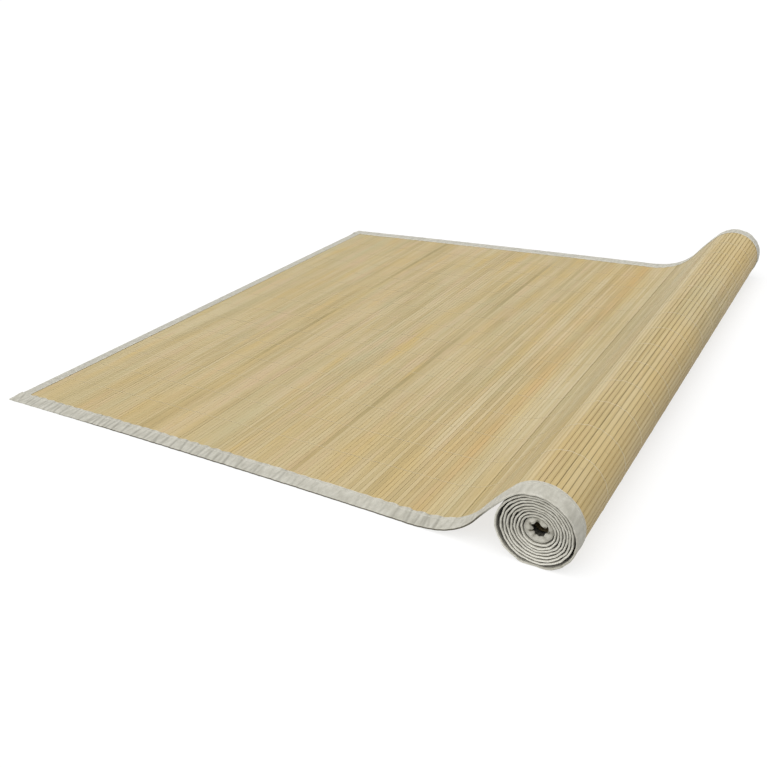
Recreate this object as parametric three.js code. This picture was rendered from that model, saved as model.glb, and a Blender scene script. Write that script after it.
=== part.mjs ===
// Bamboo rug, lying open at one end and wound into a roll at the other.
// Millimetres, Z up. X runs along the rug's length, from its free end to the roll.
// Y runs along the slats. The origin is on the floor, under the middle of the rug.

import * as THREE from "three";

// The rug when it is fully open
const RUG_LENGTH = 2000;
const RUG_WIDTH = 800;

// The cloth of slats: each slat is one flat facet, with a groove before the next one
const SLAT_PITCH = 5;
const SLAT_THICK = 1.4;
const GROOVE_WIDTH = 0.6;
const GROOVE_DEPTH = 0.7;

// Grooves are raised on what shows: the open part, the rise and the roll's outer turn
const GROOVED_TURNS = 1.1;

// The roll's inner turns press on each other: from here in, the cloth is one wound solid
const FREE_TURNS = 1.15;

// Two joints that have opened, counted in slats from the free end
const OPENED_JOINTS = [125, 140];
const OPENED_WIDTH = 1.5;
const OPENED_DEPTH = 0.9;

// Fabric binding: tape folded over the cloth's edge and sewn, on all four edges
const BINDING_THICK = 2;
const SIDE_BINDING_WIDTH = 20;
const END_BINDING_WIDTH = 15;
const SEAM_GAP = 0.3;

// The rise from the floor to the roll: one row for each bend, then a nearly straight stretch
const RISE_BENDS = [
  { radius: 130, turnDegrees: 14 },
  { radius: 72, turnDegrees: 34 },
];
const RISE_BOW = 0.8;

// The roll: radii are those of the cloth's underside, which faces the core
const ROLL_CENTRE_X = 701;
const ROLL_START_RADIUS = 34.9;
const LAYER_PITCH = 2.73;
const FLAT_SPOT_SINK = 0.2;
const CORE_DRIFT = { x: 1.8, z: 1.3 };

// The outer turn is slack: it hardly tightens until it passes under the rise
const OUTER_SLACK = 2.8;
const SLACK_ENDS = { from: 0.84, to: 1.02 };

const WINDING_DIVISIONS = 6000;
const LENGTH_HALVINGS = 40;

const BAMBOO_COLOUR = 0xc5b48d;
const BINDING_COLOUR = 0xcdcdc3;

// Angle at which the cloth climbs to the roll, and where on the roll it arrives
const climbAngle = THREE.MathUtils.degToRad(
  RISE_BENDS.reduce((sum, bend) => sum + bend.turnDegrees, 0)
);
const arrivalAngle = Math.PI / 2 + climbAngle;

// Height of the roll's centre: its outer turn would sink into the floor by the flat spot
const turnsToFloor = (arrivalAngle + Math.PI / 2) / (2 * Math.PI);
const radiusAtFloor = ROLL_START_RADIUS - LAYER_PITCH * turnsToFloor;
const rollCentre = new THREE.Vector2(
  ROLL_CENTRE_X,
  radiusAtFloor + BINDING_THICK - FLAT_SPOT_SINK
);
const arrivalPoint = new THREE.Vector2(
  rollCentre.x + ROLL_START_RADIUS * Math.cos(arrivalAngle),
  rollCentre.y + ROLL_START_RADIUS * Math.sin(arrivalAngle)
);

// Extra radius of the slack outer turn
function slackAt(turn) {
  const { from, to } = SLACK_ENDS;
  return OUTER_SLACK * turn * (1 - THREE.MathUtils.smoothstep(turn, from, to));
}

// The wound part of the cloth's underside, clockwise from the arrival point to the core
class WindingCurve extends THREE.Curve {
  constructor(turns) {
    super();
    this.turns = turns;
    this.arcLengthDivisions = WINDING_DIVISIONS;
  }

  getPoint(t, target = new THREE.Vector2()) {
    const turn = t * this.turns;
    const angle = arrivalAngle - turn * 2 * Math.PI;
    const radius = ROLL_START_RADIUS - LAYER_PITCH * turn + slackAt(turn);
    const drift = Math.sin((t * Math.PI) / 2);
    const x = rollCentre.x + radius * Math.cos(angle) + CORE_DRIFT.x * drift;
    const z = rollCentre.y + radius * Math.sin(angle) + CORE_DRIFT.z * drift;
    const restsOnFloor = turn < 1;
    return target.set(x, restsOnFloor ? Math.max(z, BINDING_THICK) : z);
  }
}

// The winding that takes up a given length of cloth, found by halving
function windingOfLength(length) {
  let fewest = 0;
  let most = ROLL_START_RADIUS / LAYER_PITCH;
  for (let step = 0; step < LENGTH_HALVINGS; step += 1) {
    const middle = (fewest + most) / 2;
    if (new WindingCurve(middle).getLength() < length) {
      fewest = middle;
    } else {
      most = middle;
    }
  }
  return new WindingCurve(most);
}

// The upward bends, placed so that the stretch after them meets the roll
function riseCurves() {
  const bends = [];
  const end = new THREE.Vector2(0, 0);
  let heading = 0;
  for (const { radius, turnDegrees } of RISE_BENDS) {
    const next = heading + THREE.MathUtils.degToRad(turnDegrees);
    const centre = end.clone().add(
      new THREE.Vector2(-Math.sin(heading), Math.cos(heading)).multiplyScalar(radius)
    );
    bends.push({ centre, radius, heading, next });
    end.set(centre.x + radius * Math.sin(next), centre.y - radius * Math.cos(next));
    heading = next;
  }
  const straightRun = (arrivalPoint.y - end.y) / Math.tan(climbAngle);
  const start = new THREE.Vector2(arrivalPoint.x - straightRun - end.x, 0);
  const arcs = bends.map(
    ({ centre, radius, heading: from, next }) =>
      new THREE.EllipseCurve(
        centre.x + start.x, centre.y, radius, radius,
        from - Math.PI / 2, next - Math.PI / 2
      )
  );
  return { start, arcs, end: end.add(start) };
}

// Unit vector square to a slat, pointing out of its upper face
function faceNormal(from, to) {
  const along = to.clone().sub(from).normalize();
  return new THREE.Vector2(-along.y, along.x);
}

// A nearly straight stretch that bows out of the cloth's upper face
function bowedStretch(from, to) {
  const control = from.clone().lerp(to, 0.5).addScaledVector(faceNormal(from, to), 2 * RISE_BOW);
  return new THREE.QuadraticBezierCurve(from, control, to);
}

// The whole course of the cloth's underside: open part, rise, roll
function clothCourse() {
  const rise = riseCurves();
  const course = new THREE.CurvePath();
  course.add(new THREE.LineCurve(new THREE.Vector2(0, 0), rise.start));
  rise.arcs.forEach((arc) => course.add(arc));
  course.add(bowedStretch(rise.end, arrivalPoint));
  const unwound = course.getLength();
  const winding = windingOfLength(RUG_LENGTH - unwound);
  course.add(winding);
  return { course, unwound, winding };
}

const { course, unwound, winding } = clothCourse();
const slatCount = RUG_LENGTH / SLAT_PITCH;
const joints = course.getSpacedPoints(slatCount);
const woundLengths = winding.getLengths();

// Slats from the free end to a place on the roll, which is given in turns
function slatsAtTurn(turn) {
  const division = Math.round((turn / winding.turns) * WINDING_DIVISIONS);
  return (unwound + woundLengths[division]) / SLAT_PITCH;
}

// Turns on the roll at a place that is given in slats
function turnAtSlats(slats) {
  const wound = slats * SLAT_PITCH - unwound;
  const division = woundLengths.findIndex((length) => length >= wound);
  return (division / WINDING_DIVISIONS) * winding.turns;
}

// Joints between two places along the cloth, with the cut ends added, measured in slats
function stretchOfCloth(from, to) {
  const at = (slats) => {
    const index = Math.min(Math.floor(slats), slatCount - 1);
    return joints[index].clone().lerp(joints[index + 1], slats - index);
  };
  const stretch = [{ point: at(from), slats: from }];
  for (let index = Math.floor(from) + 1; index < to; index += 1) {
    stretch.push({ point: joints[index], slats: index });
  }
  stretch.push({ point: at(to), slats: to });
  return stretch;
}

// Corner of the upper face above a joint, where the faces of two slats would meet
function cornerAbove(joint, before, after, thick) {
  const corner = before.clone().add(after);
  return corner.multiplyScalar(thick / (1 + before.dot(after))).add(joint);
}

// The groove above a joint: edge of one slat, bottom of the groove, edge of the next
function grooveAbove(stretch, index, before, after) {
  const { point, slats } = stretch[index];
  const opened = OPENED_JOINTS.includes(slats);
  const halfWidth = (opened ? OPENED_WIDTH : GROOVE_WIDTH) / 2;
  const floorThick = SLAT_THICK - (opened ? OPENED_DEPTH : GROOVE_DEPTH);
  const towards = (other) => other.clone().sub(point).setLength(halfWidth).add(point);
  return [
    towards(stretch[index - 1].point).addScaledVector(before, SLAT_THICK),
    cornerAbove(point, before, after, floorThick),
    towards(stretch[index + 1].point).addScaledVector(after, SLAT_THICK),
  ];
}

// Underside of a stretch of cloth or tape
function underside(from, to) {
  return stretchOfCloth(from, to).map(({ point }) => point);
}

// Upper face of a stretch of cloth or tape, with grooves up to a given place
function upperFace(from, to, thick, groovedTo = 0) {
  const stretch = stretchOfCloth(from, to);
  const last = stretch.length - 1;
  const normals = stretch
    .slice(1)
    .map(({ point }, index) => faceNormal(stretch[index].point, point));
  return stretch.flatMap(({ point, slats }, index) => {
    const before = normals[Math.max(index - 1, 0)];
    const after = normals[Math.min(index, last - 1)];
    const isJoint = index > 0 && index < last;
    return isJoint && slats < groovedTo
      ? grooveAbove(stretch, index, before, after)
      : [cornerAbove(point, before, after, thick)];
  });
}

// Section of a tape: the same thickness from one place to another
function tapeSection(from, to) {
  const upper = upperFace(from, to, BINDING_THICK);
  return new THREE.Shape(withoutStraightPoints([...underside(from, to), ...upper.reverse()]));
}

// Section of the slat cloth. The underside stops where the turns press on each other,
// and the upper face goes on for the turn that lies under it. The core stays hollow.
function clothSection(from, to) {
  const upper = upperFace(
    from, slatsAtTurn(FREE_TURNS + 1), SLAT_THICK, slatsAtTurn(GROOVED_TURNS)
  );
  const free = underside(from, slatsAtTurn(FREE_TURNS));
  const section = new THREE.Shape(withoutStraightPoints([...free, ...upper.reverse()]));
  const core = underside(slatsAtTurn(turnAtSlats(to) - 1), to);
  section.holes.push(new THREE.Path(core));
  return section;
}

// Outline without the points that lie on a straight stretch of it
function withoutStraightPoints(outline) {
  const count = outline.length;
  const tolerance = 1e-6;
  return outline.filter((point, index) => {
    const before = outline[(index + count - 1) % count];
    const after = outline[(index + 1) % count];
    const turn = point.clone().sub(before).cross(after.clone().sub(point));
    return Math.abs(turn) > tolerance;
  });
}

// A piece of the rug: its section in the XZ plane, extruded along the slats
function piece(name, section, width, centreY, material) {
  const geometry = new THREE.ExtrudeGeometry(section, {
    depth: width,
    bevelEnabled: false,
  });
  geometry.rotateX(Math.PI / 2);
  geometry.translate(0, width / 2, 0);
  const mesh = new THREE.Mesh(geometry, material);
  mesh.name = name;
  mesh.position.y = centreY;
  return mesh;
}

const bamboo = () =>
  new THREE.MeshStandardMaterial({ color: BAMBOO_COLOUR, roughness: 0.55, metalness: 0 });
const tape = () =>
  new THREE.MeshStandardMaterial({ color: BINDING_COLOUR, roughness: 0.9, metalness: 0 });

// Places where one piece ends and the next begins, in slats along the cloth
const endTape = END_BINDING_WIDTH / SLAT_PITCH;
const gap = SEAM_GAP / SLAT_PITCH;

const clothWidth = RUG_WIDTH - 2 * SIDE_BINDING_WIDTH - 2 * SEAM_GAP;
const sideTapeY = (RUG_WIDTH - SIDE_BINDING_WIDTH) / 2;

const rug = new THREE.Group();

rug.add(
  piece(
    "slat_cloth",
    clothSection(endTape + gap, slatCount - endTape - gap),
    clothWidth, 0, bamboo()
  )
);

const sideSection = tapeSection(0, slatCount);
for (const { name, side } of [
  { name: "binding_front", side: -1 },
  { name: "binding_back", side: 1 },
]) {
  rug.add(piece(name, sideSection, SIDE_BINDING_WIDTH, side * sideTapeY, tape()));
}

for (const { name, from, to } of [
  { name: "binding_free_end", from: 0, to: endTape },
  { name: "binding_core_end", from: slatCount - endTape, to: slatCount },
]) {
  rug.add(piece(name, tapeSection(from, to), clothWidth, 0, tape()));
}

// The origin goes under the middle of the rug as it lies
const extent = new THREE.Box3().setFromObject(rug);
rug.position.x = -(extent.min.x + extent.max.x) / 2;

export default rug;
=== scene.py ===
# Bamboo rug, lying open at one end and wound into a roll at the other.
# Metres, Z up, the floor at Z 0. X runs along the rug's length, Y along its slats.
# Each piece is worked flat, as on the bench, and then wound onto the cloth's course.

import math
import random

import bpy
import numpy as np
from mathutils import Matrix, Vector


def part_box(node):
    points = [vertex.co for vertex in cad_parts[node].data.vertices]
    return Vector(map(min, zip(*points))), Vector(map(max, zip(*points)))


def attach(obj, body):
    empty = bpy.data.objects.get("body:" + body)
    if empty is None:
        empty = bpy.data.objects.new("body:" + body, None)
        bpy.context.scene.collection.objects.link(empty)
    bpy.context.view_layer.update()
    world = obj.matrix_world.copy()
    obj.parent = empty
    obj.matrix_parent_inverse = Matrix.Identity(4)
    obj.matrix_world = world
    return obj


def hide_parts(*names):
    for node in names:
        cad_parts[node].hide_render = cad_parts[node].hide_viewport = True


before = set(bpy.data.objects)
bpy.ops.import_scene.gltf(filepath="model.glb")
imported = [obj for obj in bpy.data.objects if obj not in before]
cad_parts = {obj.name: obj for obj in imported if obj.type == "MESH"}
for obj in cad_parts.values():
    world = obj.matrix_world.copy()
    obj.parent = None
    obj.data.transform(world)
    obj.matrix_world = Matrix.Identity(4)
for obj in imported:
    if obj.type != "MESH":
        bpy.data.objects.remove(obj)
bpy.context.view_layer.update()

MM = 0.001
TINY = 1e-9

# Sizes that the frame gives
FREE_END_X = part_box("binding_free_end")[0].x
HALF_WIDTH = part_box("binding_back")[1].y
SIDE_TAPE_WIDTH = HALF_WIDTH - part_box("binding_back")[0].y
END_TAPE_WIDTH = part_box("binding_free_end")[1].x - FREE_END_X

# The cloth of slats
RUG_LENGTH = 2.0
SLAT_PITCH = 5 * MM
SLAT_COUNT = round(RUG_LENGTH / SLAT_PITCH)
SLAT_WIDTH = 4.96 * MM
SLAT_THICK = 1.08 * MM
SLAT_TOP = 1.4 * MM
SLAT_INSET = 2.4 * MM

# Joints that stand open, counted in slats: the rug's two ends, where the tapes are folded,
# and two joints that have worked loose
OPEN_JOINTS = [(0, 0.1 * MM), (125, 0.16 * MM), (140, 0.12 * MM), (SLAT_COUNT, 0.4 * MM)]

# Rows of thread that hold the slats together
THREAD_ROWS = 14
THREAD_ROW_STEP = 50 * MM
THREAD_WIDTH = 0.5 * MM
THREAD_THICK = 0.2 * MM

# Folded binding tape and the seam that holds it
TAPE_THICK = 0.3 * MM
TURNED_EDGE = 5 * MM
UNDERSIDE_FLAP = 15.6 * MM
FOLD_RADIUS = 0.7 * MM
SEAM_INSET = 3.6 * MM
STITCH_PITCH = 4.4 * MM
STITCH_LENGTH = 3.3 * MM
STITCH_THICK = 0.48 * MM
END_CLOSING = 1.3 * MM
END_TAPE_GAP = 0.6 * MM

# How the tape wanders: its seam edge in and out, its fold in and out, and its fold up and down.
# The end tapes do so by the share that is given last
SEAM_SCALLOP = 1.1 * MM
SEAM_SWAY = 0.5 * MM
FOLD_WANDER = 0.5 * MM
FOLD_LIFT = 0.6 * MM
END_TAPE_LIVELINESS = 0.25

# Places along the rug, in metres from its free end
WINDING_STARTS = 0.7
SHOWN_LENGTH = 0.8
INNER_TURNS_START = 0.84

# The tape's edge bunched into the roll's core: how far, over what length, and its rounded lip
CORE_GATHER = 6.2 * MM
CORE_GATHER_LENGTH = 0.071
CORE_GATHER_START = 12 * MM
CORE_BUNCHED_WIDTH = 2.3 * MM
CORE_LIP = 1.3 * MM

# The tape's painted shade: the depth of a crease whose painted shade is full, and how much darker the
# end tapes are made all over
FULL_SHADE_DEPTH = 0.3 * MM
END_TAPE_DARKENING = 0.2

# The course of the cloth's underside: the rise from the floor, then the roll
RISE_BENDS = [(130 * MM, 14), (72 * MM, 34)]
RISE_BOW = 0.8 * MM
ROLL_CENTRE_X = 701 * MM
ROLL_START_RADIUS = 34.9 * MM
LAYER_PITCH = 2.73 * MM
BINDING_THICK = 2 * MM
FLAT_SPOT_SINK = 0.2 * MM
CORE_DRIFT_X = 1.8 * MM
CORE_DRIFT_Z = 1.3 * MM
OUTER_SLACK = 2.8 * MM
SLACK_ENDS = (0.84, 1.02)
COURSE_STEP = 1 * MM

# How far the cloth has slipped sideways as it was laid and wound: (along, across) in millimetres
SIDEWAYS_DRIFT = [
    (0, -1.6), (90, 0.2), (200, 2.2), (330, 3.2), (450, 3.6), (560, 2.8), (650, 0.8), (740, -0.8),
    (800, -1.0), (880, -0.2), (960, 0.6), (1050, -0.6), (1140, 0.8), (1230, -0.4), (1330, 0.9),
    (1420, -0.3), (1520, 1.0), (1610, 0.0), (1700, 1.2), (1790, 0.2), (1880, 1.4), (2000, 0.4),
]
DRIFT_SMOOTHING = 61

# Tape that lies close to the cloth follows its flat slats, and rounds off over each joint
TAPE_STIFFNESS = 0.8
JOINT_ROUNDING = 1.4 * MM
STIFF_REACH = 1.4 * MM

# The camera, as the photograph was taken
CAMERA_AT = (0.531725, -0.908128, 0.44232)
CAMERA_HEADING = 33.503
CAMERA_PITCH = 26.326
CAMERA_ROLL = -3.839
CAMERA_LENS = 38.006
CAMERA_SENSOR = 36

# Light that reaches the rug, where 1 lights a white sheet fully
ROOM_LIGHT = 0.34
HORIZON_LIGHT = 1.05
KEY_LIGHT = 0.95
KEY_SPREAD = 75
KEY_FROM = (-0.08, -0.35, 0.93)
FLOOR_COLOUR = 0.28
FLOOR_GLOW = 0.71
FLOOR_HALF_WIDTH = 60


# The course of the cloth

def eased(share):
    """A share held between 0 and 1, with a soft start and end."""
    share = np.clip(share, 0, 1)
    return share * share * (3 - 2 * share)


def slack_at(turn):
    """Extra radius of the slack outer turn."""
    start, end = SLACK_ENDS
    return OUTER_SLACK * turn * (1 - eased((turn - start) / (end - start)))


def length_of(points):
    """The length of a line of points."""
    return np.linalg.norm(np.diff(points, axis=0), axis=1).sum()


def rise_from_origin(steps=200):
    """The bends that lift the cloth off the floor, and the heading that they end in."""
    arcs, end, heading = [np.zeros((1, 2))], np.zeros(2), 0.0
    for radius, turn in RISE_BENDS:
        headings = heading + np.linspace(0, math.radians(turn), steps)
        centre = end + radius * np.array([-math.sin(heading), math.cos(heading)])
        arc = centre + radius * np.column_stack([np.sin(headings), -np.cos(headings)])
        arcs.append(arc[1:])
        end, heading = arc[-1], headings[-1]
    return np.vstack(arcs), heading


def winding(turns, arrival, centre_z, steps=24001):
    """The wound part, clockwise from where the rise arrives to the core."""
    share = np.linspace(0, 1, steps)
    turn = share * turns
    angle = arrival - turn * 2 * math.pi
    radius = ROLL_START_RADIUS - LAYER_PITCH * turn + slack_at(turn)
    drift = np.sin(share * math.pi / 2)
    x = ROLL_CENTRE_X + radius * np.cos(angle) + CORE_DRIFT_X * drift
    z = centre_z + radius * np.sin(angle) + CORE_DRIFT_Z * drift
    on_floor = np.maximum(z, BINDING_THICK)
    return np.column_stack([x, np.where(turn < 1, on_floor, z)])


def cloth_course():
    """Points a millimetre apart along the underside of the cloth, as (x, z)."""
    bends, climb = rise_from_origin()
    arrival = math.pi / 2 + climb
    turns_to_floor = (arrival + math.pi / 2) / (2 * math.pi)
    centre_z = ROLL_START_RADIUS - LAYER_PITCH * turns_to_floor + BINDING_THICK - FLAT_SPOT_SINK
    meets = np.array([
        ROLL_CENTRE_X + ROLL_START_RADIUS * math.cos(arrival),
        centre_z + ROLL_START_RADIUS * math.sin(arrival),
    ])
    run = (meets[1] - bends[-1, 1]) / math.tan(climb)
    bends[:, 0] += meets[0] - run - bends[-1, 0]

    share = np.linspace(0, 1, 60)[1:, None]
    bow = 4 * share * (1 - share) * RISE_BOW * np.array([-math.sin(climb), math.cos(climb)])
    climb_points = bends[-1] + (meets - bends[-1]) * share + bow
    unwound = np.vstack([np.zeros((1, 2)), bends, climb_points])

    fewest, most = 0.0, ROLL_START_RADIUS / LAYER_PITCH
    for _ in range(40):
        middle = (fewest + most) / 2
        if length_of(winding(middle, arrival, centre_z)) < RUG_LENGTH - length_of(unwound):
            fewest = middle
        else:
            most = middle
    points = np.vstack([unwound, winding(most, arrival, centre_z)[1:]])
    along = np.r_[0, np.cumsum(np.linalg.norm(np.diff(points, axis=0), axis=1))]
    even = np.arange(0, RUG_LENGTH + COURSE_STEP / 2, COURSE_STEP)
    x = np.interp(even, along, points[:, 0]) + FREE_END_X
    return even, x, np.interp(even, along, points[:, 1])


ALONG, COURSE_X, COURSE_Z = cloth_course()
HEADING_X = np.gradient(COURSE_X, ALONG)
HEADING_Z = np.gradient(COURSE_Z, ALONG)


def sideways_drift():
    """The drift at each point of the course, without corners."""
    places, drifts = np.array(SIDEWAYS_DRIFT).T * MM
    steps = np.interp(ALONG, places, drifts)
    margin = DRIFT_SMOOTHING // 2
    padded = np.pad(steps, margin, mode="edge")
    return np.convolve(padded, np.ones(DRIFT_SMOOTHING) / DRIFT_SMOOTHING, mode="valid")


DRIFT = sideways_drift()


def course_point(along):
    """The course at a distance, carried straight on past its two ends."""
    past_end = along - np.clip(along, 0, RUG_LENGTH)
    x = np.interp(along, ALONG, COURSE_X) + past_end * np.interp(along, ALONG, HEADING_X)
    z = np.interp(along, ALONG, COURSE_Z) + past_end * np.interp(along, ALONG, HEADING_Z)
    return np.stack([x, z], axis=-1)


def laid(along, above, centre, chord):
    """Points laid straight along a chord of the course that is centred as given."""
    behind, ahead = course_point(centre - chord / 2), course_point(centre + chord / 2)
    heading = (ahead - behind) / np.linalg.norm(ahead - behind, axis=-1)[..., None]
    outward = np.stack([-heading[..., 1], heading[..., 0]], axis=-1)
    middle = (behind + ahead) / 2
    return middle + heading * (along - centre)[..., None] + outward * above[..., None]


def on_course(along, across, above):
    """Where points of a flat tape come to lie: along the rug, across it, above its underside."""
    centre = (np.floor(np.clip(along, 0, RUG_LENGTH - SLAT_PITCH / 2) / SLAT_PITCH) + 0.5) * SLAT_PITCH
    off_joint = eased((SLAT_PITCH / 2 - np.abs(along - centre)) / JOINT_ROUNDING)
    near_cloth = np.clip(2 - np.abs(above - SLAT_TOP / 2) / STIFF_REACH, 0, 1)
    stiff = (off_joint * TAPE_STIFFNESS * near_cloth)[..., None]
    rounded = laid(along, above, along, COURSE_STEP)
    spot = rounded + (laid(along, above, centre, SLAT_PITCH) - rounded) * stiff
    return np.stack([spot[..., 0], across + np.interp(along, ALONG, DRIFT), spot[..., 1]], axis=-1)


# Node trees

class Wire:
    """A value in a node tree. A sum or product of wires adds the node for it."""

    def __init__(self, tree, socket):
        self.tree = tree
        self.socket = socket

    def math(self, operation, *others):
        inputs = dict(enumerate((self, *others)))
        return self.tree.wire("ShaderNodeMath", inputs, operation=operation)

    def __add__(self, other):
        return self.math("ADD", other)

    def __sub__(self, other):
        return self.math("SUBTRACT", other)

    def __mul__(self, other):
        return self.math("MULTIPLY", other)

    def __truediv__(self, other):
        return self.math("DIVIDE", other)


class Tree:
    """A node tree that is built one node at a time."""

    def __init__(self, nodes_of):
        self.tree = nodes_of

    def node(self, kind, inputs=None, **settings):
        """A new node. A wire given as an input is linked, and a plain value is set."""
        node = self.tree.nodes.new(kind)
        for name, value in settings.items():
            setattr(node, name, value)
        for name, value in (inputs or {}).items():
            socket = node.inputs[name]
            if isinstance(value, Wire):
                self.tree.links.new(value.socket, socket)
            else:
                socket.default_value = value
        return node

    def wire(self, kind, inputs=None, output=0, **settings):
        return Wire(self, self.node(kind, inputs, **settings).outputs[output])

    def vector(self, x=0.0, y=0.0, z=0.0):
        return self.wire("ShaderNodeCombineXYZ", {"X": x, "Y": y, "Z": z})

    def parts(self, vector):
        node = self.node("ShaderNodeSeparateXYZ", {"Vector": vector})
        return [Wire(self, socket) for socket in node.outputs]

    def between(self, value, low, high, to_low=0.0, to_high=1.0):
        """A value mapped from one range to another, and held at its ends."""
        inputs = {"Value": value, "From Min": low, "From Max": high}
        inputs.update({"To Min": to_low, "To Max": to_high})
        return self.wire("ShaderNodeMapRange", inputs)


def noise(tree, x, y, detail=2.0, rough=0.5, z=0.0):
    """Smooth noise from 0 to 1, whose lumps are about one unit of x and y."""
    inputs = {"Vector": tree.vector(x, y, z), "Scale": 1.0, "Detail": detail, "Roughness": rough}
    return tree.wire("ShaderNodeTexNoise", inputs)


SOCKETS = {
    int: "NodeSocketInt",
    float: "NodeSocketFloat",
    bpy.types.Material: "NodeSocketMaterial",
}


def recipe(name, sizes):
    """A Geometry Nodes tree with a named input for each size, and the wires of its inputs."""
    group = bpy.data.node_groups.new(name, "GeometryNodeTree")
    group.is_modifier = True
    group.interface.new_socket("Geometry", in_out="INPUT", socket_type="NodeSocketGeometry")
    group.interface.new_socket("Geometry", in_out="OUTPUT", socket_type="NodeSocketGeometry")
    for size, value in sizes.items():
        group.interface.new_socket(size, in_out="INPUT", socket_type=SOCKETS[type(value)])
    tree = Tree(group)
    start = tree.node("NodeGroupInput")
    return tree, {socket.name: Wire(tree, socket) for socket in start.outputs if socket.name}


def end_recipe(tree, geometry, material):
    """Closes a recipe: instances become mesh, and the finish goes on."""
    mesh = tree.wire("GeometryNodeRealizeInstances", {"Geometry": geometry})
    done = tree.wire("GeometryNodeSetMaterial", {"Geometry": mesh, "Material": material})
    tree.node("NodeGroupOutput", {"Geometry": done})


def make(name, tree, sizes, start_mesh):
    """The plain mesh object that a recipe makes from a starting mesh."""
    piece = bpy.data.objects.new(name, start_mesh)
    bpy.context.scene.collection.objects.link(piece)
    modifier = piece.modifiers.new(name, "NODES")
    modifier.node_group = tree.tree
    for item in tree.tree.interface.items_tree:
        if item.in_out == "INPUT" and item.name in sizes:
            modifier[item.identifier] = sizes[item.name]
    return settled(piece)


def settled(piece):
    """Gives a piece the mesh that its modifiers make, and takes the modifiers away."""
    graph = bpy.context.evaluated_depsgraph_get()
    mesh = bpy.data.meshes.new_from_object(
        piece.evaluated_get(graph), preserve_all_data_layers=True, depsgraph=graph
    )
    piece.modifiers.clear()
    piece.data = mesh
    mesh.name = piece.name
    return piece


def course_mesh():
    """The course as a line of edges, for the recipes to follow."""
    points = list(zip(COURSE_X, DRIFT, COURSE_Z))
    edges = [(i, i + 1) for i in range(len(points) - 1)]
    mesh = bpy.data.meshes.new("course")
    mesh.from_pydata(points, edges, [])
    return mesh


def wound(tree, geometry, line, pitch):
    """Lays flat geometry on the course. Each point goes with the slat that it lies on, which is
    straight across its width, or with the slat that it already belongs to."""
    curve = tree.wire("GeometryNodeMeshToCurve", {"Mesh": line})

    def place(distance):
        inputs = {"Curves": curve, "Length": distance}
        return tree.wire("GeometryNodeSampleCurve", inputs, "Position", mode="LENGTH")

    def vectors(operation, *wires):
        return tree.wire("ShaderNodeVectorMath", dict(enumerate(wires)), operation=operation)

    def scaled(vector, length):
        return tree.wire(
            "ShaderNodeVectorMath", {0: vector, "Scale": length}, operation="SCALE"
        )

    x, y, z = tree.parts(tree.wire("GeometryNodeInputPosition"))
    own = tree.node("GeometryNodeInputNamedAttribute", {"Name": "centre"}, data_type="FLOAT")
    under = ((x / pitch).math("FLOOR") + 0.5) * pitch
    centre = tree.wire(
        "GeometryNodeSwitch",
        {
            "Switch": Wire(tree, own.outputs["Exists"]),
            "False": under,
            "True": Wire(tree, own.outputs["Attribute"]),
        },
        input_type="FLOAT",
    )
    behind, ahead = place(centre - pitch / 2), place(centre + pitch / 2)
    chord_middle = scaled(vectors("ADD", behind, ahead), 0.5)
    middle = tree.wire(
        "ShaderNodeMix", {"Factor": 0.1, "A": chord_middle, "B": place(centre)},
        "Result", data_type="VECTOR",
    )
    heading = vectors("NORMALIZE", vectors("SUBTRACT", ahead, behind))
    outward = vectors("CROSS_PRODUCT", heading, tree.vector(y=1.0))
    spot = vectors("ADD", middle, scaled(heading, x - centre))
    spot = vectors("ADD", spot, scaled(outward, z))
    spot = vectors("ADD", spot, tree.vector(y=y))
    return set_at(tree, geometry, spot)


def store(tree, geometry, name, value, kind="FLOAT", domain="POINT"):
    """Geometry that carries a named value at each of its points or corners."""
    inputs = {"Geometry": geometry, "Name": name, "Value": value}
    return tree.wire("GeometryNodeStoreNamedAttribute", inputs, data_type=kind, domain=domain)


def stored(tree, name):
    """A value that the geometry carries."""
    return tree.wire("GeometryNodeInputNamedAttribute", {"Name": name}, data_type="FLOAT")


def chance(tree, low, high, seed):
    """A random number for each point."""
    inputs = {2: low, 3: high, "Seed": seed}
    return tree.wire("FunctionNodeRandomValue", inputs, 1, data_type="FLOAT")


def set_at(tree, geometry, spot):
    """Geometry with each point set at its spot."""
    return tree.wire("GeometryNodeSetPosition", {"Geometry": geometry, "Position": spot})


def turned(tree, z=0.0, y=0.0):
    """A turn about Y or Z, in radians."""
    return tree.wire("FunctionNodeEulerToRotation", {"Euler": tree.vector(0.0, y, z)})


def copies(tree, points, shape, **fitting):
    """A shape set out on each point, as plain mesh, with its flat place on the rug as its UVs."""
    inputs = {"Points": points, "Instance": shape, **fitting}
    set_out = tree.wire("GeometryNodeInstanceOnPoints", inputs)
    mesh = tree.wire("GeometryNodeRealizeInstances", {"Geometry": set_out})
    x, y, _ = tree.parts(tree.wire("GeometryNodeInputPosition"))
    return store(tree, mesh, "UVMap", tree.vector(x, y), "FLOAT2", "CORNER")


def shaded_smooth(tree, geometry):
    return tree.wire("GeometryNodeSetShadeSmooth", {"Geometry": geometry, "Shade Smooth": True})


# Slats

CLOTH_SIZES = {
    "Slats": SLAT_COUNT,
    "Slat pitch": SLAT_PITCH,
    "Slat width": SLAT_WIDTH,
    "Slat thickness": SLAT_THICK,
    "Slat top": SLAT_TOP,
}

# The corners of a slat's section, the number of sections from end to end, and how round they
# are: 0 is a box, 1 an ellipse
SLAT_SIDES = 10
SLAT_SECTIONS = 7
SLAT_ROUNDNESS = 0.2


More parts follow.
